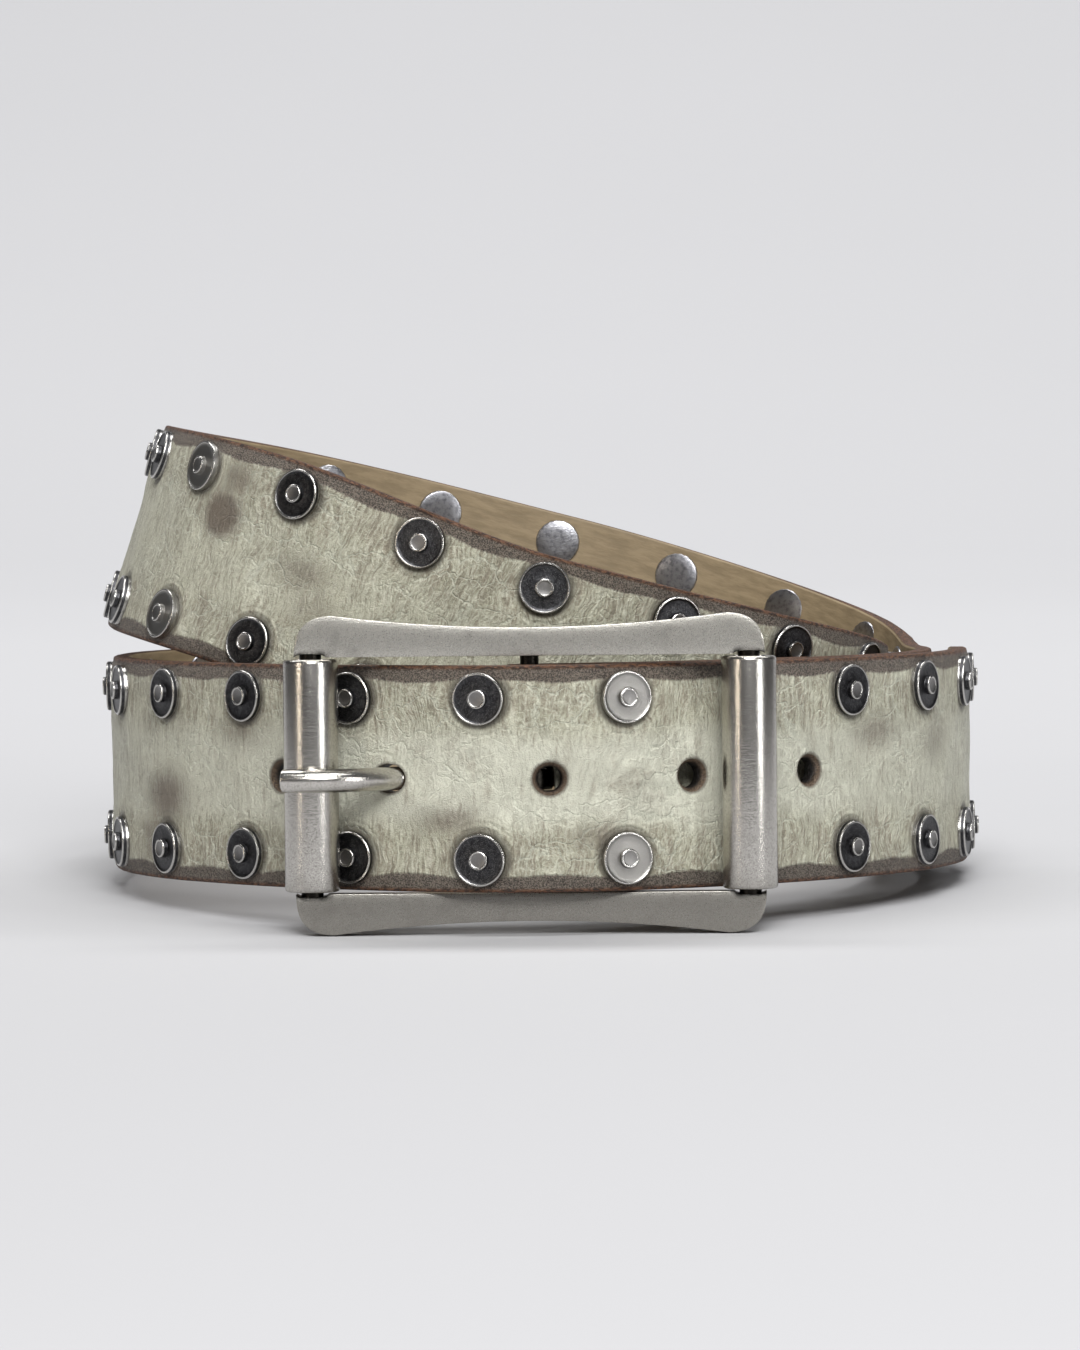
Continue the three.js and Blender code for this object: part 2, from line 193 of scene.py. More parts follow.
# %% The whole track, fold included
FOLD_REACH = 22.1
RUN_START = FOLD_REACH - AT_BUCKLE
FLAP = 38.0
run_lengths = np.arange(RUN_START, TONGUE + 0.5, 1.0)
run = stations_at(direction_at(run_lengths))
beside = stations_at(direction_at(np.arange(RUN_START + FLAP, RUN_START, -1.0)))
inward = STRAP_THICKNESS / 2 + FIT + SKIVED_THICKNESS / 2
turns = np.radians(np.linspace(0, 180, 25))
bend_out = np.stack([-np.sin(turns), np.cos(turns), 0 * turns], -1)
bend_middle = np.array([0, -BAR_PLANE, STRAP_WIDTH / 2]) + EYE_RADIUS * bend_out
upright = np.tile([0.0, 0.0, 1.0], (len(turns), 1))

TRACK_MIDDLE = np.concatenate([beside[0] - inward * beside[2], bend_middle, run[0]])
TRACK_ACROSS = np.concatenate([beside[1], upright, run[1]])
TRACK_OUT = np.concatenate([-beside[2], bend_out, run[2]])
thin = len(beside[0]) + len(turns)
TRACK_THICK = np.full(len(TRACK_MIDDLE), STRAP_THICKNESS)
TRACK_THICK[:thin] = SKIVED_THICKNESS
apart = np.linalg.norm(np.diff(TRACK_MIDDLE, axis=0), axis=1)
TRACK_LENGTH = np.concatenate([[0], np.cumsum(apart)])
TRACK_LENGTH += run_lengths[0] - TRACK_LENGTH[thin]
FLAP_END = TRACK_LENGTH[0]
BEND_LENGTH = TRACK_LENGTH[thin - 13]
print("strap length, unrolled", round(TONGUE - FLAP_END, 1), "mm")

# %% [markdown]
# The coil doesn't stand level: the frame is higher than the strap is wide, so its bottom bar
# props up the front, and the whole coil leans back by 2.6 degrees. The angle and the shift are
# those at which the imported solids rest. One function carries a flat point (along, across, out)
# onto the track, and another one settles it on the ground, in metres.

# %% From flat leather to the standing coil
TILT = math.radians(-2.6079)
SETTLE = Matrix.Translation(Vector((0.7450, 7.2343, 3.2803)) * MM) @ Matrix.Rotation(TILT, 4, "X")


def settle(points):
    """Level millimetres to metres in the frame."""
    turned = np.array(SETTLE.to_3x3())
    moved = np.array(SETTLE.translation)
    return (np.asarray(points, float) * MM) @ turned.T + moved


def track(column, along):
    return np.stack([np.interp(along, TRACK_LENGTH, column[:, k]) for k in range(3)], -1)


def coiled(flat):
    """Carries flat points, in millimetres, onto the coil."""
    along, across, out = np.asarray(flat, float).T
    place = track(TRACK_MIDDLE, along)
    place = place + unit(track(TRACK_ACROSS, along)) * across[:, None]
    return settle(place + unit(track(TRACK_OUT, along)) * out[:, None])


def frame_on_strap(along, across, out):
    """A matrix that seats a small rigid piece on the strap: its Z looks out of the grain."""
    place = coiled([(along, across, out)])[0]
    turned = np.array(SETTLE.to_3x3())
    up = turned @ unit(track(TRACK_ACROSS, np.array([along])))[0]
    outward = turned @ unit(track(TRACK_OUT, np.array([along])))[0]
    ahead = np.cross(up, outward)
    seat = Matrix((ahead, up, outward)).transposed().to_4x4()
    seat.translation = Vector(place)
    return seat


print("the coil leans back by", round(-math.degrees(TILT), 2), "degrees")


# %% [markdown]
# A few helpers keep the later cells short. They read and write a mesh's points, keep numbers on
# them for the materials, lay out a grid, and turn a profile as on a lathe.

# %% Helpers for meshes
def positions(mesh):
    co = np.zeros(len(mesh.vertices) * 3)
    mesh.vertices.foreach_get("co", co)
    return co.reshape(-1, 3)


def set_positions(mesh, points):
    mesh.vertices.foreach_set("co", np.asarray(points, float).ravel())
    mesh.update()


def store(mesh, name, values):
    """Keeps one number or vector per vertex, for the materials to read."""
    values = np.asarray(values, float)
    kind = "FLOAT_VECTOR" if values.ndim == 2 else "FLOAT"
    attribute = mesh.attributes.new(name, kind, "POINT")
    attribute.data.foreach_set("vector" if values.ndim == 2 else "value", values.ravel())


def new_object(name, mesh):
    made = bpy.data.objects.new(name, mesh)
    bpy.context.scene.collection.objects.link(made)
    return made


def mesh_from(bm, name):
    mesh = bpy.data.meshes.new(name)
    bm.to_mesh(mesh)
    bm.free()
    return mesh


def add_to(whole, piece):
    """Moves the shape of one bmesh into another."""
    mesh = mesh_from(piece, "piece")
    whole.from_mesh(mesh)
    bpy.data.meshes.remove(mesh)


def finish_piece(obj, body, sharp):
    """Smooth shading with sharp creases kept, and the piece's body."""
    for face in obj.data.polygons:
        face.use_smooth = True
    obj.data.set_sharp_from_angle(angle=math.radians(sharp))
    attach(obj, body)
    print(obj.name, len(obj.data.polygons), "faces")


def grid_of(columns, rows):
    """A grid with the given places along X and Y."""
    bm = bmesh.new()
    bmesh.ops.create_grid(bm, x_segments=len(columns) - 1, y_segments=len(rows) - 1, size=0.5)
    for v in bm.verts:
        i = round((v.co.x + 0.5) * (len(columns) - 1))
        j = round((v.co.y + 0.5) * (len(rows) - 1))
        v.co = (columns[i], rows[j], 0)
    return bm


def turned_piece(profile, steps):
    """A lathed bmesh from (radius, height) points that start and may end on the axis."""
    bm = bmesh.new()
    verts = [bm.verts.new((r, 0, z)) for r, z in profile]
    edges = [bm.edges.new(pair) for pair in zip(verts, verts[1:])]
    bmesh.ops.spin(
        bm, geom=verts + edges, cent=(0, 0, 0), axis=(0, 0, 1), angle=2 * math.pi,
        steps=steps, use_merge=True,
    )
    bmesh.ops.remove_doubles(bm, verts=bm.verts, dist=1e-5)
    bmesh.ops.recalc_face_normals(bm, faces=bm.faces)
    return bm


# %% [markdown]
# The prong's middle line comes before the leather, since it presses its way through it. Each
# point is a share of the way to the side bar, and a share of the height at which it lies.

# %% The prong's line
ROLLER_RADIUS = 4.7
WIRE_RADIUS = 2.0
LYING = ROLLER_RADIUS + FIT + WIRE_RADIUS
prong_points = [
    (0.0791, 0), (0.2, -0.08), (0.37, -0.16), (0.5, -0.2), (0.6, -0.05), (0.7, 0.38),
    (0.8, 0.76), (0.9, 0.97), (1.0, 1.0), (1.126, 0.9),
]
centre = np.array([
    [-way * SIDE_BAR, -BAR_PLANE - height * LYING, STRAP_WIDTH / 2] for way, height in prong_points
])
knots = np.concatenate([[0], np.cumsum(np.linalg.norm(np.diff(centre, axis=0), axis=1))])
fine = np.linspace(0, knots[-1], 60)
wire = np.stack([smooth(knots, centre[:, k], fine) for k in range(3)], -1)
print("prong", round(knots[-1], 1), "mm long")

# %% [markdown]
# The leather. A side of hide is cut into a strip, and its edges are pressed down and darkened.
# Here a flat grid is thickened and its long edges are rounded. The grid is closer along the edges,
# which slope, and its last columns draw in to the half-round tip.

# %% The flat strip
COLUMN_PITCH = 1.4
RIM_ROUNDING = 0.45
HALF = STRAP_WIDTH / 2
TIP_CENTRE = TONGUE - HALF
tip_turns = np.radians(np.linspace(0, 87.5, 22))
columns = np.concatenate([
    np.arange(FLAP_END, TIP_CENTRE - 0.8, COLUMN_PITCH),
    TIP_CENTRE + HALF * np.sin(tip_turns),
])
edge_rows = [0, 0.5, 1.1, 1.8, 2.6, 3.4, 4.4]
half_rows = [HALF - row for row in edge_rows] + list(np.linspace(HALF - 6, 1.1, 9))
rows = sorted([-row for row in half_rows] + half_rows)
bm = grid_of(columns, rows)
bmesh.ops.solidify(bm, geom=bm.faces[:], thickness=STRAP_THICKNESS)
low = min(v.co.z for v in bm.verts)
for v in bm.verts:
    v.co.z = STRAP_THICKNESS / 2 if v.co.z > low + STRAP_THICKNESS / 2 else -STRAP_THICKNESS / 2
rims = [
    e for e in bm.edges
    if len(e.link_faces) == 2 and e.calc_face_angle() > 1 and abs(e.verts[0].co.y) > HALF - 0.01
    and abs(e.verts[0].co.x - e.verts[1].co.x) > 0.01
]
bmesh.ops.bevel(
    bm, geom=rims, offset=RIM_ROUNDING, segments=2, profile=0.5, affect="EDGES", material=-1
)
bmesh.ops.recalc_face_normals(bm, faces=bm.faces)
strip = new_object("strap_leather", mesh_from(bm, "strap_leather"))
print("flat strip", len(strip.data.polygons), "faces")

# %% [markdown]
# The holes are punched before the leather is bent, as in the workshop. A punch leaves a straight
# wall, but wear opens a hole towards the grain, so the cutters flare. The prong's own hole is
# pulled longer, and a plain slot in the fold lets the prong through.

# %% Punching the holes and the slot
# Each pair is a radius and a height over the middle of the leather.
hole_profile = [
    (0, -4), (2.5, -4), (2.5, -1.8), (2.15, -1.4), (2.1, 0.2), (2.3, 0.8), (2.55, 1.2),
    (2.85, 1.55), (3.1, 1.8), (3.1, 4), (0, 4),
]
pulled_profile = [
    (0, -4), (2.6, -4), (2.6, -1.8), (2.4, -1.3), (2.35, 1.1), (2.6, 1.85), (2.6, 4), (0, 4),
]
PULLED = (1.25, 1.0, 1.0)
PULLED_BACK = 0.5
SLOT_SIZE = (18.5, 4.8, 8)
cutters = bmesh.new()


def add_punch(profile, length, stretch):
    punch = turned_piece(profile, 32)
    bmesh.ops.scale(punch, verts=punch.verts, vec=stretch)
    bmesh.ops.translate(punch, verts=punch.verts, vec=(length, 0, 0))
    add_to(cutters, punch)


for length in FREE_HOLES:
    add_punch(hole_profile, length, (1, 1, 1))
add_punch(pulled_profile, PRONG_HOLE - PULLED_BACK, PULLED)
slot_cut = bmesh.ops.create_cube(cutters, size=1)["verts"]
bmesh.ops.scale(cutters, verts=slot_cut, vec=SLOT_SIZE)
bmesh.ops.translate(cutters, verts=slot_cut, vec=(BEND_LENGTH, 0, 0))
punches = new_object("punches", mesh_from(cutters, "punches"))
cut = strip.modifiers.new("punch", "BOOLEAN")
cut.operation = "DIFFERENCE"
cut.solver = "EXACT"
cut.object = punches
cut_strip = strip.evaluated_get(bpy.context.evaluated_depsgraph_get())
punched = bpy.data.meshes.new_from_object(cut_strip)
strip.modifiers.clear()
strip.data = punched
bpy.data.objects.remove(punches)
print("punched strip", len(strip.data.polygons), "faces")


# %% [markdown]
# Leather is never flat. Washers press it in, it swells between them, its edges slope where they
# were pressed, and it waves a little. These low forms are moved in the mesh, while the grain,
# which is finer than the mesh, is left to the material.

# %% The leather's low relief
# Depths and heights in millimetres: under a washer, round it, at the edge, and of two waves.
PRESSED, SWOLLEN, SLOPED = 0.28, 0.16, 0.45
LONG_WAVE, SHORT_WAVE = 0.10, 0.07


def nearest_stud(along):
    return (along - FIRST_STUD + STUD_PITCH / 2) % STUD_PITCH - STUD_PITCH / 2


def ease(value, low, high):
    u = np.clip((value - low) / (high - low), 0, 1)
    return u * u * (3 - 2 * u)


flat = positions(strip.data)
along, across, out = flat.T.copy()
tip_share = np.sqrt(np.clip(1 - (np.maximum(along - TIP_CENTRE, 0) / HALF) ** 2, 0, 1))
edge = np.where(
    along > TIP_CENTRE,
    HALF - np.hypot(along - TIP_CENTRE, across * tip_share),
    HALF - np.abs(across),
)
across = across * tip_share
stud_distance = np.hypot(nearest_stud(along), np.abs(across) - STUD_ROW)
pressed = PRESSED * np.exp(-((stud_distance / 5.2) ** 6))
swollen = SWOLLEN * np.exp(-(((stud_distance - 6.6) / 1.5) ** 2))
slope = SLOPED * (1 - ease(edge, 0.2, 3.0))
wave = LONG_WAVE * np.sin(along / 5.1 + 0.31 * across)
wave = wave + SHORT_WAVE * np.sin(along / 2.3 - 0.22 * across + 1.7)
wave = wave * ease(edge, 0, 5)
relief = swollen + wave - pressed - slope
thick = np.interp(along, TRACK_LENGTH, TRACK_THICK)
share = out / STRAP_THICKNESS
on_grain = np.clip(share + 0.5, 0, 1)
on_run = ease(along, RUN_START, RUN_START + 6)
flat_out = share * thick + relief * on_grain * on_run
print("leather relief from", round(relief.min(), 2), "to", round(relief.max(), 2), "mm")

# %% [markdown]
# Stains are soft and broader than the mesh's faces, so they're kept as one number per point. The
# first ones sit where the photograph shows them, the others are strewn over the hidden turns. The
# distance from the edge and from the nearest hole is kept as well, for the dark rims.

# %% Stains, hole wear and attributes
STAINS = [
    # along, across, half length, half width, strength
    (-534.0, 6.2, 3.4, 2.9, 1.45),
    (-532.0, 13.0, 3.5, 3.0, 0.7),
    (-616.5, -12.0, 3.0, 5.0, 0.6),
    (-512.0, 1.0, 6.0, 3.0, 0.6),
    (-508.0, -4.0, 5.0, 4.0, 0.5),
    (-81.5, -4.5, 6.5, 4.0, 0.9),
    (-58.0, 7.5, 6.0, 3.0, 0.6),
    (-87.5, -12.0, 5.0, 4.0, 0.6),
    (-43.0, -11.5, 4.0, 4.0, 0.5),
    (-13.5, -7.0, 5.5, 2.5, 0.7),
    (17.0, -0.5, 4.5, 1.5, 0.6),
    (12.0, -10.0, 5.0, 2.5, 0.6),
    (19.0, -3.5, 5.0, 4.0, 0.4),
    (72.5, 6.0, 6.0, 3.0, 0.65),
    (94.5, 4.0, 6.0, 3.5, 0.55),
]
STREWN = 26
SEEN_MIDDLE, SEEN_REACH = -560, 70
for spot in range(STREWN):
    place = random.uniform(RUN_START, -120)
    if abs(place - SEEN_MIDDLE) > SEEN_REACH:
        sizes = (random.uniform(3, 7), random.uniform(2.5, 4.5), random.uniform(0.3, 0.6))
        STAINS.append((place, random.uniform(-14, 14), *sizes))
stain = np.zeros(len(along))
for at, level, long_way, wide_way, strength in STAINS:
    far = ((along - at) / long_way) ** 2 + ((across - level) / wide_way) ** 2
    stain = np.maximum(stain, strength * np.exp(-far / 2))
hole_far = np.min([np.hypot(along - at, across) for at in FREE_HOLES], axis=0)
pulled_far = np.hypot((along - PRONG_HOLE + PULLED_BACK) / PULLED[0], across) + 0.35
store(strip.data, "flat", np.stack([along, across, out], -1))
store(strip.data, "edge", edge)
store(strip.data, "stain", stain)
store(strip.data, "hole", np.minimum(hole_far, pulled_far))
print(len(STAINS), "stains, up to", round(stain.max(), 2), "strong")

# %% [markdown]
# The flat strap is carried onto its track. Where the prong pushes against it, the leather gives
# way: points closer to the wire's middle than its half thickness are moved straight out to it.

# %% Coiling the strap
PRESSED_TO = 2.12
bent = coiled(np.stack([along, across, flat_out], -1))
wire_settled = settle(wire)
near = np.flatnonzero((along > -36) & (along < 4) & (np.abs(across) < 5))
for i in near:
    away = bent[i] - wire_settled
    apart = np.linalg.norm(away, axis=1)
    k = int(np.argmin(apart))
    if apart[k] < PRESSED_TO * MM:
        bent[i] = wire_settled[k] + away[k] / apart[k] * PRESSED_TO * MM
set_positions(strip.data, bent)
print(len(near), "points looked at beside the prong")

# %% [markdown]
# Studs. Each one is a washer with a raised rim, held by a rivet whose post stands up through its
# middle and whose flat head lies behind the leather. Each shape is turned once on a lathe, then
# seated 90 times, a little unevenly, as by hand.

# %% One stud, one rivet head
# Each pair is a radius and a height over the middle of the leather.
FACE = STRAP_THICKNESS / 2
RIM = FACE + WASHER_HEIGHT
# Studs whose light faces are a painted reflection.
REFLECTING_STUDS = (1, -9, -22)
stud_profile = [
    (4.5, FACE - 0.5), (4.5, RIM - 0.26), (4.45, RIM - 0.1), (4.34, RIM), (4.2, RIM + 0.01),
    (4.06, RIM - 0.06), (3.92, RIM - 0.14), (3.6, RIM - 0.17), (1.85, RIM - 0.2),
    (1.7, RIM - 0.16), (1.66, RIM - 0.02), (1.66, RIM + 0.54), (1.6, RIM + 0.7),
    (1.47, RIM + 0.78), (1.32, RIM + 0.77), (1.2, RIM + 0.69), (1.06, RIM + 0.65), (0, RIM + 0.64),
]
head_profile = [
    (4.3, -FACE + 0.2), (4.3, -FACE - 0.2), (4.15, -FACE - 0.42), (3.8, -FACE - 0.52),
    (2.0, -FACE - 0.58), (0, -FACE - 0.6),
]


def seated(name, profile, steps, lower, behind_fold):
    """One mesh of the turned profile on every stud's place, with its own coordinates kept."""
    one = mesh_from(turned_piece(profile, steps), name + "_one")
    own = positions(one)
    bm = bmesh.new()
    local, which = [], []
    for index in STUD_INDEXES:
        for row in (-STUD_ROW, STUD_ROW):
            along = FIRST_STUD + STUD_PITCH * index
            seat = frame_on_strap(along, row, 0)
            tip = Matrix.Rotation(math.radians(random.uniform(-1, 1)), 4, "X")
            tip = tip @ Matrix.Rotation(math.radians(random.uniform(-1, 1)), 4, "Y")
            spun = Matrix.Rotation(random.uniform(0, 6.28), 4, "Z")
            on_fold = along < RUN_START + FLAP
            down = Matrix.Translation((0, 0, lower - (behind_fold if on_fold else 0)))
            first = len(bm.verts)
            bm.from_mesh(one)
            bm.verts.ensure_lookup_table()
            matrix = seat @ Matrix.Scale(MM, 4) @ down @ tip @ spun
            bmesh.ops.transform(bm, matrix=matrix, verts=bm.verts[first:])
            local.append(own)
            # The listed studs get the highest value, which paints a reflection on their faces; the
            # others get a random one.
            stud_value = 1.0 if index in REFLECTING_STUDS else random.uniform(0, 0.75)
            which.append(np.full(len(own), stud_value))
    bpy.data.meshes.remove(one)
    mesh = mesh_from(bm, name)
    store(mesh, "local", np.concatenate(local))
    store(mesh, "which", np.concatenate(which))
    print(name, len(which), "places")
    return new_object(name, mesh)


studs = seated("washer_studs", stud_profile, 32, -0.05, 0)
heads = seated("rivet_heads", head_profile, 20, 0, FIT + SKIVED_THICKNESS)

# %% [markdown]
# The buckle. Its two long bars are forged flat, hollowed a little on their outer sides, with
# rounded outer corners, and a low arch over each roller's end. The outlines are two functions of
# the place along the bar, so the hollow and the corners stay smooth however fine the grid is.

# %% The long bars' outlines
FRAME_LENGTH, FRAME_HEIGHT, FRAME_DEPTH, OPENING = 80.0, 54.3, 4.4, 40.3
STRAP_SAG = 0.6
FRAME_MIDDLE = STRAP_WIDTH / 2 + STRAP_SAG
WAIST, CORNER = 2.2, 6.5
NOTCH_HALF, NOTCH_DEPTH = 2.7, 0.6
SIDE_ROD, CENTRE_ROD = 1.9, 1.6
ROD_HEIGHT = OPENING + 4
CROWN, BAR_ROUNDING = 0.12, 0.75


def outer_side(x):
    """The height of a long bar's outer side."""
    half = FRAME_LENGTH / 2
    outside = FRAME_HEIGHT / 2
    foot = outside - CORNER
    u = np.sqrt(np.clip((half - np.abs(x)) / CORNER, 0, 1))
    corner = outside - (outside - foot) * (1 - u) ** 2
    hollow = outside - WAIST * np.clip(1 - (x / (half - CORNER)) ** 2, 0, 1)
    return np.where(np.abs(x) > half - CORNER, corner, hollow)


def inner_side(x):
    """The height of a long bar's inner side, with a low arch over each roller's end."""
    from_rod = (np.abs(x) - SIDE_BAR) / NOTCH_HALF
    return OPENING / 2 + NOTCH_DEPTH * np.sqrt(np.clip(1 - from_rod**2, 0, 1))


def rod(bm, x, radius, steps):
    made = bmesh.ops.create_cone(
        bm, cap_ends=True, segments=steps, radius1=radius, radius2=radius, depth=ROD_HEIGHT
    )["verts"]
    bmesh.ops.translate(bm, verts=made, vec=(x, 0, 0))


print("long bars", round(float(outer_side(0) - inner_side(0)), 2), "mm high at the waist")

# %% [markdown]
# A grid between the inner and the outer side becomes a bar: it is thickened, crowned by a hair so
# that light runs along it, and its edges are rounded. The side bars and the centre bar are plain
# round rods. The arches over the rollers' ends and the rods are marked, and the marked metal is
# darkened as painted shade.

# %% The buckle frame
end = FRAME_LENGTH / 2 - CORNER * np.linspace(0, 1, 12) ** 2
arch = SIDE_BAR + NOTCH_HALF * np.sin(np.radians(np.linspace(-90, 90, 15)))
arch = arch[arch < FRAME_LENGTH / 2 - 0.3]
ends = np.union1d(end, arch)
bar_columns = np.concatenate([-ends[::-1], np.linspace(-ends[0], ends[0], 30)[1:-1], ends])
buckle = bmesh.new()
for side in (1, -1):
    bar = grid_of(bar_columns, np.linspace(0, 1, 7))
    for v in bar.verts:
        x, share = v.co.x, v.co.y
        foot, top = float(inner_side(x)), float(outer_side(x))
        v.co = (x, FRAME_DEPTH / 2, side * (foot + share * (top - foot)))
    bmesh.ops.recalc_face_normals(bar, faces=bar.faces)
    bmesh.ops.solidify(bar, geom=bar.faces[:], thickness=FRAME_DEPTH)
    middle_y = (min(v.co.y for v in bar.verts) + max(v.co.y for v in bar.verts)) / 2
    bmesh.ops.translate(bar, verts=bar.verts, vec=(0, -middle_y, 0))
    for v in bar.verts:
        foot, top = float(inner_side(v.co.x)), float(outer_side(v.co.x))
        from_middle = 2 * (abs(v.co.z) - foot) / (top - foot) - 1
        v.co.y += math.copysign(CROWN * max(0.0, 1 - from_middle**2), v.co.y)
    sharp = [e for e in bar.edges if len(e.link_faces) == 2 and e.calc_face_angle() > 0.9]
    bmesh.ops.bevel(
        bar, geom=sharp, offset=BAR_ROUNDING, segments=4, profile=0.5, affect="EDGES",
        material=-1, clamp_overlap=True,
    )
    bmesh.ops.remove_doubles(bar, verts=bar.verts, dist=1e-4)
    bmesh.ops.recalc_face_normals(bar, faces=bar.faces)
    add_to(buckle, bar)
for x in (-SIDE_BAR, SIDE_BAR):
    rod(buckle, x, SIDE_ROD, 32)
rod(buckle, 0, CENTRE_ROD, 24)
bmesh.ops.translate(buckle, verts=buckle.verts, vec=(0, -BAR_PLANE, FRAME_MIDDLE))
mesh = mesh_from(buckle, "buckle_bars")
level_points = positions(mesh)
from_rod = np.abs(np.abs(level_points[:, 0]) - SIDE_BAR) / NOTCH_HALF
from_side = (np.abs(level_points[:, 2] - FRAME_MIDDLE) - OPENING / 2) / NOTCH_DEPTH
store(mesh, "own", level_points)
# Painted shade: the arch over each roller's end and the rods are marked to be darkened.
dark = (1 - ease(from_rod, 0.9, 1.15)) * (1 - ease(from_side, 0.85, 1.3))
in_depth = level_points[:, 1] + BAR_PLANE
on_rod = np.hypot(from_rod * NOTCH_HALF, in_depth) < SIDE_ROD + 0.05
on_rod |= np.hypot(level_points[:, 0], in_depth) < CENTRE_ROD + 0.05
store(mesh, "painted_shade", np.maximum(dark, on_rod))
set_positions(mesh, settle(level_points))
bars = new_object("buckle_bars", mesh)
print("buckle frame", len(mesh.polygons), "faces")

# %% [markdown]
# Each roller is a tube rolled from sheet, loose on its side bar. A short profile turned round
# the bar gives it, with rounded ends, and it rides on its own body, so it can spin.

# %% The rollers
ROLLER_HALF = 19.8
# Each pair is a radius and how far below the end it lies.
end_profile = [(4.7, 0.62), (4.64, 0.32), (4.45, 0.1), (4.15, 0), (3.1, 0), (2.8, 0.3)]
roller_profile = [(r, -ROLLER_HALF + below) for r, below in end_profile[::-1]]
roller_profile += [(ROLLER_RADIUS, 0)]
roller_profile += [(r, ROLLER_HALF - below) for r, below in end_profile]
roller_profile += roller_profile[:1]
rollers = {}
for name, x in (("left", -SIDE_BAR), ("right", SIDE_BAR)):
    bm = turned_piece(roller_profile, 56)
    bmesh.ops.translate(bm, verts=bm.verts, vec=(x, -BAR_PLANE, FRAME_MIDDLE))
    mesh = mesh_from(bm, "roller_tube_" + name)
    store(mesh, "own", positions(mesh))
    set_positions(mesh, settle(positions(mesh)))
    rollers[name] = new_object("roller_tube_" + name, mesh)
    print(name, "roller", round(2 * ROLLER_HALF, 1), "mm long")

# %% [markdown]
# The prong is a round wire: an eye round the centre bar, a bend through the second hole and a
# straight end that rests on the left roller. A grid is rolled round its middle line, and its ends
# are drawn in to a flat, slightly rounded cut. The eye is turned on the lathe.

# %% The prong
ahead = unit(np.gradient(wire, axis=0))
side_way = unit(np.cross(ahead, [0, 0, 1.0]))
up_way = np.cross(side_way, ahead)
last = len(wire) - 1
# Each pair is a place on the line and a share of the wire's radius.
ring_rows = [(0, 0), (0, 0.72)]
ring_rows += [(i, 1.0) for i in range(last - 2)]
ring_rows += [(last - 1, 1.0), (last - 0.35, 0.97), (last - 0.1, 0.88), (last, 0.74), (last, 0)]
bm = grid_of(np.arange(len(ring_rows)), np.arange(25))
for v in bm.verts:
    at, share = ring_rows[round(v.co.x)]
    angle = 2 * math.pi * v.co.y / 24
    i = min(int(at), last - 1)
    u = at - i
    middle = wire[i] * (1 - u) + wire[i + 1] * u
    ring = math.cos(angle) * side_way[i] + math.sin(angle) * up_way[i]
    v.co = middle + WIRE_RADIUS * share * ring
bmesh.ops.remove_doubles(bm, verts=bm.verts, dist=1e-4)
eye_profile = [
    (1.9, -1.6), (2.2, -2.0), (3.6, -2.0), (4.0, -1.5), (4.0, 1.5), (3.6, 2.0), (2.2, 2.0),
    (1.9, 1.6), (1.9, -1.6),
]
eye = turned_piece(eye_profile, 40)
bmesh.ops.translate(eye, verts=eye.verts, vec=(0, -BAR_PLANE, STRAP_WIDTH / 2))
add_to(bm, eye)
bmesh.ops.recalc_face_normals(bm, faces=bm.faces)
mesh = mesh_from(bm, "prong_wire")
store(mesh, "own", positions(mesh))
# Painted shade: the eye and the wire next to it, inside the fold, are marked to be darkened.
store(mesh, "painted_shade", 1 - ease(-positions(mesh)[:, 0], 3.0, 9.0))
set_positions(mesh, settle(positions(mesh)))
prong = new_object("prong_wire", mesh)
print("prong with its eye", len(mesh.polygons), "faces")


# %% [markdown]
# Materials are small networks of nodes. This helper class writes them shortly: a value is either
# a number or another node's output, and every method gives an output back.

# %% A shorthand for material nodes
def tint(code):
    """A colour, given as #rrggbb, in the linear values that shaders take."""
    parts = [int(code[i:i + 2], 16) / 255 for i in (1, 3, 5)]
    return [p / 12.92 if p <= 0.04045 else ((p + 0.055) / 1.055) ** 2.4 for p in parts] + [1]


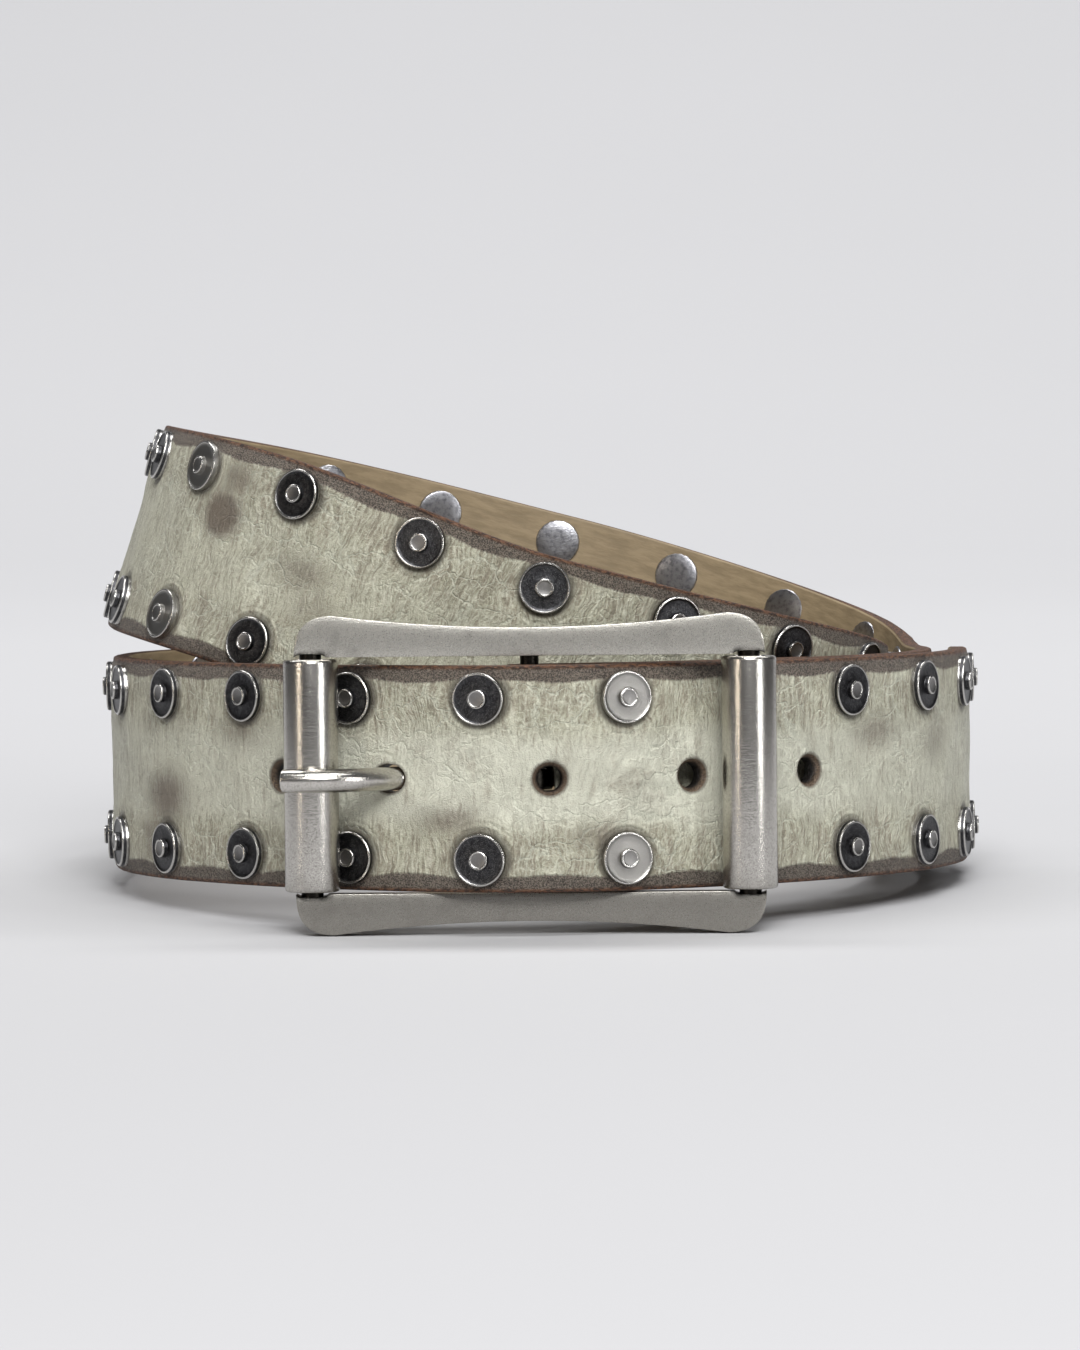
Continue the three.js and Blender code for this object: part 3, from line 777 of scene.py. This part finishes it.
class Net:
    def __init__(self, name, metallic, coat=0.0):
        self.material = bpy.data.materials.new(name)
        self.material.use_nodes = True
        self.tree = self.material.node_tree
        self.shader = self.tree.nodes["Principled BSDF"]
        self.shader.inputs["Metallic"].default_value = metallic
        self.shader.inputs["Coat Weight"].default_value = coat

    def put(self, socket, value):
        if isinstance(value, bpy.types.NodeSocket):
            self.tree.links.new(value, socket)
        else:
            socket.default_value = value

    def node(self, kind, inputs, **settings):
        made = self.tree.nodes.new(kind)
        for name, value in settings.items():
            setattr(made, name, value)
        for key, value in inputs.items():
            self.put(made.inputs[key], value)
        return made

    def attribute(self, name, output="Vector"):
        return self.node("ShaderNodeAttribute", {}, attribute_name=name).outputs[output]

    def math(self, operation, a, b=0.0, c=0.0):
        return self.node("ShaderNodeMath", {0: a, 1: b, 2: c}, operation=operation).outputs[0]

    def parts(self, vector):
        return self.node("ShaderNodeSeparateXYZ", {0: vector}).outputs

    def join(self, x, y, z):
        return self.node("ShaderNodeCombineXYZ", {0: x, 1: y, 2: z}).outputs[0]

    def vector(self, operation, a, b):
        return self.node("ShaderNodeVectorMath", {0: a, 1: b}, operation=operation).outputs[0]

    def scaled(self, vector, by):
        return self.vector("MULTIPLY", vector, by)

    def length(self, vector):
        made = self.node("ShaderNodeVectorMath", {0: vector}, operation="LENGTH")
        return made.outputs["Value"]

    def warped(self, vector, scale, reach):
        """The same coordinates, pushed about by a noise of its own by up to half the reach."""
        made = self.node("ShaderNodeTexNoise", {"Vector": vector, "Scale": scale, "Detail": 2.0})
        push = self.vector("SUBTRACT", made.outputs["Color"], (0.5, 0.5, 0.5))
        return self.vector("ADD", vector, self.scaled(push, (reach, reach, 0.0)))

    def step(self, value, low, high):
        """0 below low, 1 above high, smooth between; low may be the greater."""
        inputs = {"Value": value, "From Min": low, "From Max": high}
        made = self.node("ShaderNodeMapRange", inputs, interpolation_type="SMOOTHSTEP")
        return made.outputs["Result"]

    def noise(self, vector, scale, detail=3.0, roughness=0.55, distortion=0.0):
        inputs = {"Vector": vector, "Scale": scale, "Detail": detail}
        inputs |= {"Roughness": roughness, "Distortion": distortion}
        return self.node("ShaderNodeTexNoise", inputs).outputs[0]

    def mix(self, share, a, b):
        return self.node("ShaderNodeMix", {0: share, 6: a, 7: b}, data_type="RGBA").outputs[2]

    def blend(self, share, a, b):
        return self.node("ShaderNodeMix", {0: share, 2: a, 3: b}, data_type="FLOAT").outputs[0]

    def cracks(self, vector, scale, width):
        """Thin lines round random cells: 1 on a line."""
        inputs = {"Vector": vector, "Scale": scale}
        made = self.node("ShaderNodeTexVoronoi", inputs, feature="DISTANCE_TO_EDGE")
        return self.step(made.outputs["Distance"], width, 0.0)

    def bump(self, height, distance, strength=1.0):
        inputs = {"Height": height, "Distance": distance, "Strength": strength}
        return self.node("ShaderNodeBump", inputs).outputs[0]

    def finish(self, colour, roughness, normal):
        self.put(self.shader.inputs["Base Color"], colour)
        self.put(self.shader.inputs["Roughness"], roughness)
        self.put(self.shader.inputs["Normal"], normal)
        print("material", self.material.name, len(self.tree.nodes), "nodes")
        return self.material


# %% [markdown]
# The leather's colour is a thin pale wash over brown hide. It is thick along the middle, worn
# into fine streaks across the strap towards its edges, and stained in a few places. Painted shade
# darkens it round the washers, in the wrinkles' valleys, in the holes and towards the buckle's
# sides, and a painted highlight lightens the wrinkles' ridges. All of it is laid out in the flat
# strap's millimetres, so the first nodes find where a point lies: how far from the edge, from the
# nearest washer and from the nearest hole.

# %% The leather: where a point lies
leather = Net("whitewashed_leather", 0.0)
place = leather.attribute("flat")
edge_distance = leather.attribute("edge", "Fac")
stained = leather.attribute("stain", "Fac")
hole_distance = leather.attribute("hole", "Fac")
px, py, pz = leather.parts(place)
wide = leather.math("ABSOLUTE", py)
stud_shift = leather.math("ADD", px, STUD_PITCH / 2 - FIRST_STUD)
stud_along = leather.math("FLOORED_MODULO", stud_shift, STUD_PITCH)
stud_along = leather.math("SUBTRACT", stud_along, STUD_PITCH / 2)
stud_across = leather.math("SUBTRACT", wide, STUD_ROW)
stud_far = leather.length(leather.join(stud_along, stud_across, 0.0))
near_stud = leather.step(stud_far, 9.5, 4.8)

# The bleached middle band is widest at the front, where the belt is handled. Towards both sides
# of the buckle it fades, as painted shade where the strap turns away from the light.
front = leather.step(px, -230.0, -150.0)
band_wave = leather.noise(leather.scaled(place, (1.0, 0.2, 0.0)), 0.05, 3)
band_half = leather.math("MULTIPLY_ADD", band_wave, 9.0, 2.5)
bleached = leather.step(leather.math("SUBTRACT", wide, band_half), 3.5, -2.0)
bleached = leather.math("MULTIPLY", bleached, leather.blend(front, 0.35, 1.0))
# Painted shade: less bleach towards both sides of the buckle darkens the front turn where it faces
# sideways.
side_shade_fade = leather.step(leather.math("ABSOLUTE", px), 100.0, 30.0)
bleached = leather.math("MULTIPLY", bleached, leather.blend(side_shade_fade, 0.55, 1.0))
print("stud pitch in the leather's pattern", STUD_PITCH, "mm")

# %% [markdown]
# Wrinkles run across the strap, bend round the studs and fade in the bleached band. One noise
# drawn out across the strap gives the pleats, another one the crinkles between them, and the
# edges of random cells give the few long creases. The same wrinkles drive colour and height.

# %% The leather: wrinkles and grain
bent_place = leather.warped(place, 0.12, 5.0)
pleats = leather.noise(leather.scaled(bent_place, (1.0, 0.13, 1.0)), 2.2, 3, 0.6, 0.05)
crinkles = leather.noise(leather.scaled(bent_place, (1.0, 0.5, 1.0)), 2.8, 3, 0.6, 0.1)
wrinkles = leather.blend(0.4, pleats, crinkles)
fine_grain = leather.noise(bent_place, 4.6, 3, 0.65)
streaks = leather.noise(leather.scaled(place, (1.0, 0.2, 1.0)), 0.8, 4, 0.65, 0.2)
clouds = leather.noise(place, 0.07, 4, 0.55, 0.4)
smudges = leather.noise(leather.scaled(place, (0.7, 1.1, 1.0)), 0.15, 3, 0.6, 0.8)
speckle = leather.noise(place, 4.5, 3, 0.7)
wide_place = leather.scaled(leather.warped(place, 0.3, 6.0), (0.7, 1.5, 1.0))
wide_cells = leather.cracks(wide_place, 0.13, 0.05)
small_place = leather.scaled(leather.warped(place, 0.5, 3.0), (1.0, 0.8, 1.0))
small_cells = leather.cracks(small_place, 0.5, 0.12)
creases = leather.math("MAXIMUM", wide_cells, leather.math("MULTIPLY", small_cells, 0.45))
creases = leather.math("MULTIPLY", creases, leather.step(clouds, 0.40, 0.56))
creases = leather.math("MULTIPLY", creases, leather.step(fine_grain, 0.3, 0.55))
depth = leather.blend(bleached, 1.0, 0.42)
# Masks for a painted highlight on the wrinkles' ridges and painted shade in their valleys, both
# weaker in the bleached band.
ridge_highlight = leather.math("MULTIPLY", leather.step(wrinkles, 0.49, 0.60), depth)
valley_shade = leather.math("MULTIPLY", leather.step(wrinkles, 0.50, 0.39), depth)
print("the grain takes", len(leather.tree.nodes), "nodes so far")

# %% [markdown]
# The wash. Two pale tones drift into each other, and thinner layers of darker and lighter tones
# go over them: streaks where the wash is worn, smudges, painted shade in the wrinkles' valleys
# and a painted highlight on their ridges, the stains, painted shade round the washers, and the
# dirt round the holes.

# %% The leather: the wash
pale = leather.mix(leather.step(clouds, 0.35, 0.68), tint("#b9b8a3"), tint("#a3a18d"))
pale = leather.mix(bleached, pale, tint("#c4c4b4"))
worn = leather.math("ADD", leather.step(wide, 4.0, 13.5), leather.math("MULTIPLY", near_stud, 0.5))
worn = leather.math("MULTIPLY", worn, leather.blend(bleached, 0.12, 0.03))
streaky = leather.step(leather.math("ADD", streaks, worn), 0.5, 0.76)
shown = leather.mix(leather.math("MULTIPLY", streaky, 0.5), pale, tint("#85796a"))
smudged = leather.math("MULTIPLY", leather.step(smudges, 0.58, 0.78), 0.45)
shown = leather.mix(smudged, shown, tint("#7d7262"))
# Painted shade darkens the valleys, and a painted highlight lightens the ridges.
shown = leather.mix(leather.math("MULTIPLY", valley_shade, 0.5), shown, tint("#6d6355"))
shown = leather.mix(leather.math("MULTIPLY", ridge_highlight, 0.5), shown, tint("#d4d4c2"))
shown = leather.mix(leather.math("MULTIPLY", creases, 0.7), shown, tint("#d2d4c2"))
pores = leather.math("MULTIPLY", leather.step(fine_grain, 0.5, 0.34), 0.3)
shown = leather.mix(pores, shown, tint("#7a7060"))
uneven = leather.math("SUBTRACT", wrinkles, 0.5)
blot = leather.math("ADD", stained, leather.math("MULTIPLY", uneven, 1.4))
blot = leather.math("MULTIPLY", leather.step(blot, 0.15, 0.95), leather.step(stained, 0.05, 0.3))
shown = leather.mix(leather.math("MULTIPLY", blot, 0.9), shown, tint("#5f5347"))
# Painted shade: a dark ring on the leather round the foot of each washer.
washer_contact_shade = leather.math("MULTIPLY", leather.step(stud_far, 5.9, 4.6), 0.75)
shown = leather.mix(washer_contact_shade, shown, tint("#3f392f"))
frayed = leather.math("ADD", hole_distance, leather.math("MULTIPLY", fine_grain, 0.6))
hole_ring = leather.step(frayed, 3.8, 3.2)
shown = leather.mix(leather.math("MULTIPLY", hole_ring, 0.7), shown, tint("#4a4036"))
print("with the wash", len(leather.tree.nodes), "nodes")

# %% [markdown]
# Where the wash ends. The pressed strip along each edge is bare, dark and granular, and a little
# wider between the studs. The cut edge is rusty and fibrous, the back is smooth and tan, and the
# walls of the holes are raw, with painted shade that darkens them inwards.

# %% The leather: edges, back and holes
ripple = leather.math("COSINE", leather.math("MULTIPLY", stud_along, 2 * math.pi / STUD_PITCH))
boundary = leather.math("ADD", leather.math("MULTIPLY", ripple, -0.4), 2.6)
ragged = leather.math("MULTIPLY", leather.math("SUBTRACT", clouds, 0.5), 1.2)
ragged = leather.math("MULTIPLY_ADD", uneven, 0.9, ragged)
into_strip = leather.math("SUBTRACT", leather.math("ADD", edge_distance, ragged), boundary)
on_strip = leather.step(into_strip, 0.35, -0.25)
strip_colour = leather.mix(leather.step(speckle, 0.43, 0.58), tint("#29231f"), tint("#82756a"))
shown = leather.mix(leather.math("MULTIPLY", on_strip, 0.93), shown, strip_colour)

rim_noise = leather.noise(leather.scaled(place, (0.5, 1.0, 2.0)), 2.2, 4, 0.6)
rust = leather.mix(leather.step(rim_noise, 0.4, 0.62), tint("#33231a"), tint("#7a5238"))
on_rim = leather.math("ADD", edge_distance, leather.math("MULTIPLY", rim_noise, 1.1))
on_rim = leather.step(on_rim, 1.5, 0.9)
shown = leather.mix(on_rim, shown, rust)
back_grain = leather.noise(leather.scaled(place, (0.25, 1.0, 1.0)), 0.6, 4, 0.6)
tan = leather.mix(leather.step(back_grain, 0.35, 0.65), tint("#7c6c52"), tint("#8e7d61"))
on_back = leather.step(pz, -1.2, -1.6)
shown = leather.mix(on_back, shown, tan)
below_grain = leather.step(pz, 1.69, 1.45)
in_hole = leather.math("MULTIPLY", leather.step(hole_distance, 3.0, 2.75), below_grain)
wall = leather.mix(leather.step(speckle, 0.35, 0.65), tint("#2e241c"), tint("#75624f"))
# Painted shade: the hole walls turn near black deeper into the hole.
wall = leather.mix(leather.step(pz, 1.3, 0.2), wall, tint("#120d0a"))
shown = leather.mix(in_hole, shown, wall)
print("with its edges", len(leather.tree.nodes), "nodes")

# %% [markdown]
# The grain's height is for the bump alone, as it is finer than the mesh. Wrinkles and grain add
# up, and fine rings of puckers lie round each washer. The ridges are polished, so they shine.

# %% The leather: height and gloss
BUMP_HEIGHT = 0.0008
puckers = leather.math("SINE", leather.math("MULTIPLY", stud_far, 2 * math.pi / 1.1))
puckers = leather.math("MULTIPLY", puckers, leather.step(stud_far, 8.0, 5.0))
wash = leather.math("MULTIPLY", wrinkles, leather.math("MULTIPLY", depth, 1.1))
wash = leather.math("ADD", wash, leather.math("MULTIPLY", fine_grain, 0.4))
wash = leather.math("SUBTRACT", wash, leather.math("MULTIPLY", creases, 0.25))
wash = leather.math("MULTIPLY_ADD", puckers, 0.12, wash)
relief = leather.blend(on_strip, wash, leather.math("MULTIPLY", speckle, 0.8))
relief = leather.blend(on_back, relief, leather.math("MULTIPLY", back_grain, 0.15))
grain_normal = leather.bump(relief, BUMP_HEIGHT)
rough = leather.blend(on_strip, leather.blend(wrinkles, 0.58, 0.32), 0.6)
rough = leather.blend(on_back, rough, 0.6)
strip.data.materials.clear()
strip.data.materials.append(leather.finish(shown, rough, grain_normal))
finish_piece(strip, "belt", 50)
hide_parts("strap")


# %% [markdown]
# The metals. The frame, rollers and prong are silvery and rubbed, with fine dark speckle where
# the plating aged. The washers are darker gunmetal, bright only where hands and cloth rub them:
# on the rim and on the ring round the post's end.

# %% The buckle's metal
METAL_BUMP = 0.00004
STUD_BUMP = 0.00003


def aged_metal(name, bright, dark, speckled, low_rough, high_rough):
    """Silver between a bright and a dark tone, and a roughness between a low and a high one."""
    net = Net(name, 1.0)
    own = net.attribute("own")
    fine = net.noise(own, 4.0, 5, 0.7)
    broad = net.noise(own, 0.18, 4, 0.6, 0.5)
    brushed = net.noise(net.scaled(own, (0.15, 1.0, 1.0)), 3.0, 3, 0.6)
    colour = net.mix(net.step(fine, 0.46, 0.66), tint(bright), tint(dark))
    colour = net.mix(net.math("MULTIPLY", net.step(broad, 0.5, 0.75), speckled), colour, tint(dark))
    # Painted shade: the metal darkens towards the bottom, on the lower bar.
    below = net.math("MULTIPLY", net.step(net.parts(own)[2], 4.0, -3.0), 0.6)
    colour = net.mix(below, colour, tint("#807c76"))
    # Painted shade on the marked metal: the frame's arches and rods, and the prong's eye.
    colour = net.mix(net.attribute("painted_shade", "Fac"), colour, tint("#24221f"))
    roughness = net.blend(net.step(fine, 0.3, 0.7), low_rough, high_rough)
    height = net.math("ADD", net.math("MULTIPLY", fine, 0.6), net.math("MULTIPLY", brushed, 0.4))
    return net.finish(colour, roughness, net.bump(height, METAL_BUMP))


frame_metal = aged_metal("antique_silver", "#c6c3bb", "#9a9690", 0.5, 0.25, 0.36)
roller_metal = aged_metal("rubbed_silver", "#c9c6c0", "#98948e", 0.3, 0.17, 0.27)
bars.data.materials.append(frame_metal)
finish_piece(bars, "belt", 35)
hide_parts("buckle_frame")
prong_metal = aged_metal("polished_silver", "#cfccc6", "#a5a19b", 0.2, 0.16, 0.26)
prong.data.materials.append(prong_metal)
finish_piece(prong, "belt", 35)
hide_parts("prong")
for name, tube in rollers.items():
    tube.data.materials.append(roller_metal)
    finish_piece(tube, "roller_" + name, 35)
    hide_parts("roller_" + name)

# %% [markdown]
# A washer's material reads the washer's own coordinates, so that radius and height tell its rim
# from its face and from the post. A second number differs from stud to stud. It shifts the
# mottling, and makes a few studs light, as a painted reflection on those studs' faces.

# %% The studs' metal
gun = Net("gunmetal", 1.0)
local = gun.attribute("local")
which = gun.attribute("which", "Fac")
lx, ly, lz = gun.parts(local)
radius = gun.length(gun.join(lx, ly, 0.0))
shifted = gun.vector("ADD", local, gun.join(gun.math("MULTIPLY", which, 90), 0.0, 0.0))
mottle = gun.noise(shifted, 1.2, 5, 0.65)
grit = gun.noise(shifted, 6.0, 3, 0.7)
on_edge = gun.math("MULTIPLY", gun.step(radius, 4.02, 4.2), gun.step(lz, RIM - 0.3, RIM - 0.16))
on_foot = gun.math("MULTIPLY", gun.step(radius, 4.44, 4.48), gun.step(lz, RIM - 0.75, RIM - 0.9))
on_post = gun.step(radius, 1.72, 1.68)
post_rim = gun.math("MULTIPLY", gun.step(radius, 1.16, 1.3), gun.step(lz, RIM + 0.5, RIM + 0.62))
bright = gun.math("MAXIMUM", gun.math("MAXIMUM", on_edge, on_foot), post_rim)
unworn = gun.blend(gun.step(mottle, 0.22, 0.42), 0.65, 1.0)
bright = gun.math("MULTIPLY", bright, unworn)
face = gun.mix(gun.step(mottle, 0.35, 0.7), tint("#2e2e30"), tint("#464648"))
# Painted reflection: the studs with the highest value get a light face.
face = gun.mix(gun.step(which, 0.8, 0.95), face, tint("#908e8a"))
on_top = gun.math("MULTIPLY", on_post, gun.step(lz, RIM + 0.4, RIM + 0.6))
face = gun.mix(gun.math("MULTIPLY", on_top, 0.8), face, tint("#8c8a88"))
face = gun.mix(gun.math("MULTIPLY", gun.step(grit, 0.52, 0.68), 0.35), face, tint("#a8a6a6"))
stud_colour = gun.mix(bright, face, tint("#bdbbb7"))
stud_rough = gun.blend(bright, gun.blend(mottle, 0.30, 0.42), 0.2)
studs.data.materials.append(gun.finish(stud_colour, stud_rough, gun.bump(grit, STUD_BUMP)))
finish_piece(studs, "belt", 28)

# %% [markdown]
# The rivets' flat heads behind the leather are plain silver with fine scratches, all one way.

# %% The rivet heads' metal
silver = Net("rivet_silver", 1.0)
local = silver.attribute("local")
scratch = silver.noise(silver.scaled(local, (0.3, 1.0, 1.0)), 4.0, 4, 0.6)
mottle = silver.noise(local, 1.2, 4, 0.6)
head_colour = silver.mix(silver.step(mottle, 0.4, 0.7), tint("#a6a6aa"), tint("#7f7f84"))
head_rough = silver.blend(scratch, 0.22, 0.4)
scratched = silver.bump(scratch, STUD_BUMP)
heads.data.materials.append(silver.finish(head_colour, head_rough, scratched))
finish_piece(heads, "belt", 28)

# %% [markdown]
# The studio's floor is pale and plain, and curves up behind the belt until it fills the view, so
# there is no horizon.

# %% The floor
CURVE_START, CURVE_END, CURVE_TOP = 0.9, 2.9, 1.7
floor_columns = np.linspace(-2.5, 2.5, 3)
floor_rows = np.concatenate([np.linspace(-2.5, CURVE_START, 4), np.linspace(1.0, CURVE_END, 20)])
bm = grid_of(floor_columns, floor_rows)
for v in bm.verts:
    risen = max(0.0, (v.co.y - CURVE_START) / (CURVE_END - CURVE_START))
    v.co.z = CURVE_TOP * risen**2
floor = new_object("studio_floor", mesh_from(bm, "studio_floor"))
for face in floor.data.polygons:
    face.use_smooth = True
pale_floor = Net("pale_floor", 0.0)
where = pale_floor.node("ShaderNodeTexCoord", {}).outputs["Object"]
faint = pale_floor.noise(where, 3.0, 2)
floor_colour = pale_floor.mix(faint, tint("#b1b1b3"), tint("#b5b5b7"))
floor.data.materials.append(pale_floor.finish(floor_colour, 0.8, pale_floor.bump(faint, 0.0005)))
floor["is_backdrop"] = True
print("floor", len(floor.data.polygons), "faces")

# %% [markdown]
# The lights. A broad one in front shows the leather's colour, one from above lights the bars' and
# the studs' upper sides, and two narrow strips draw the bright lines down the rollers. They reach
# down to the floor, so the lines do as well. The last one lights the floor behind. The standard
# view keeps the contrast that the photograph has.

# %% The lights
TARGET = Vector((0.0, -0.02, 0.035))
BACKDROP = Vector((0.0, 1.5, 0.15))
WORLD_STRENGTH = 0.13


def area_light(name, azimuth, elevation, distance, size, power, colour="#ffffff", target=TARGET):
    """A soft light that looks at the belt. Azimuth 0 is on the camera's side, 90 on the right."""
    a, e = math.radians(azimuth), math.radians(elevation)
    way = Vector((math.sin(a) * math.cos(e), -math.cos(a) * math.cos(e), math.sin(e)))
    data = bpy.data.lights.new(name, "AREA")
    data.shape = "RECTANGLE"
    data.size, data.size_y = size
    data.energy = power
    data.color = tint(colour)[:3]
    made = bpy.data.objects.new(name, data)
    bpy.context.scene.collection.objects.link(made)
    made.location = target + way * distance
    made.rotation_euler = way.to_track_quat("Z", "Y").to_euler()
    made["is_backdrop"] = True
    print(name, power, "watts")


area_light("light_front", 5, 36, 1.5, (0.6, 0.5), 18)
area_light("light_right", 46, 11.8, 1.3, (0.08, 0.6), 3.1)
area_light("light_left", -47, 11.8, 1.3, (0.05, 0.6), 1.4, "#fff1de")
area_light("light_top", 10, 66, 1.4, (0.8, 0.14), 8)
area_light("light_backdrop", 0, 52, 1.6, (2.6, 0.6), 44, target=BACKDROP)
world = bpy.data.worlds.new("studio")
bpy.context.scene.world = world
world.use_nodes = True
background = world.node_tree.nodes["Background"]
background.inputs["Color"].default_value = tint("#c9c9cc")
background.inputs["Strength"].default_value = WORLD_STRENGTH
bpy.context.scene.view_settings.view_transform = "Standard"

# %% [markdown]
# The camera stands far off with a long lens, a little above the belt, as in the photograph. Its
# place was fitted to the coil as it lies level, so it is settled on the ground like the strap.

# %% The camera
PICTURE_HEIGHT = 1350
FOCAL_PIXELS = 6332.0
OFF_CENTRE = (1.68, 80.13)
DISTANCE = 1168.1
RISE, YAW, ROLL = (math.radians(v) for v in (2.37, 1.237, 0.552))
back = Vector((math.sin(YAW) * math.cos(RISE), -math.cos(YAW) * math.cos(RISE), math.sin(RISE)))
right = Vector((math.cos(YAW), math.sin(YAW), 0))
up = back.cross(right)
level = Matrix((right, up, back)).transposed() @ Matrix.Rotation(-ROLL, 3, "Z")
aside, upward = (math.atan(pixels / FOCAL_PIXELS) for pixels in OFF_CENTRE)
aim = Matrix.Rotation(upward, 3, "X") @ Matrix.Rotation(aside, 3, "Y")
camera_data = bpy.data.cameras.new("camera")
camera_data.lens = FOCAL_PIXELS / PICTURE_HEIGHT * camera_data.sensor_width
camera_data.clip_start, camera_data.clip_end = 0.05, 20
camera = bpy.data.objects.new("camera", camera_data)
bpy.context.scene.collection.objects.link(camera)
stand = Vector((0, 0, STRAP_WIDTH / 2)) + back * DISTANCE
turned = (SETTLE.to_3x3() @ level @ aim).to_4x4()
turned.translation = SETTLE @ (stand * MM)
camera.matrix_world = turned
bpy.context.scene.camera = camera
print("camera with a lens of", round(camera_data.lens, 1), "mm")

# %% [markdown]
# At the end the dressed belt's box is set beside that of the solids, and the dressed box is
# printed.

# %% The size that shows
low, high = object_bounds()
sizes = {"cad": [list(cad_low), list(cad_high)], "visual": [list(low), list(high)]}
print("visual box", [round(v, 4) for v in low], [round(v, 4) for v in high])
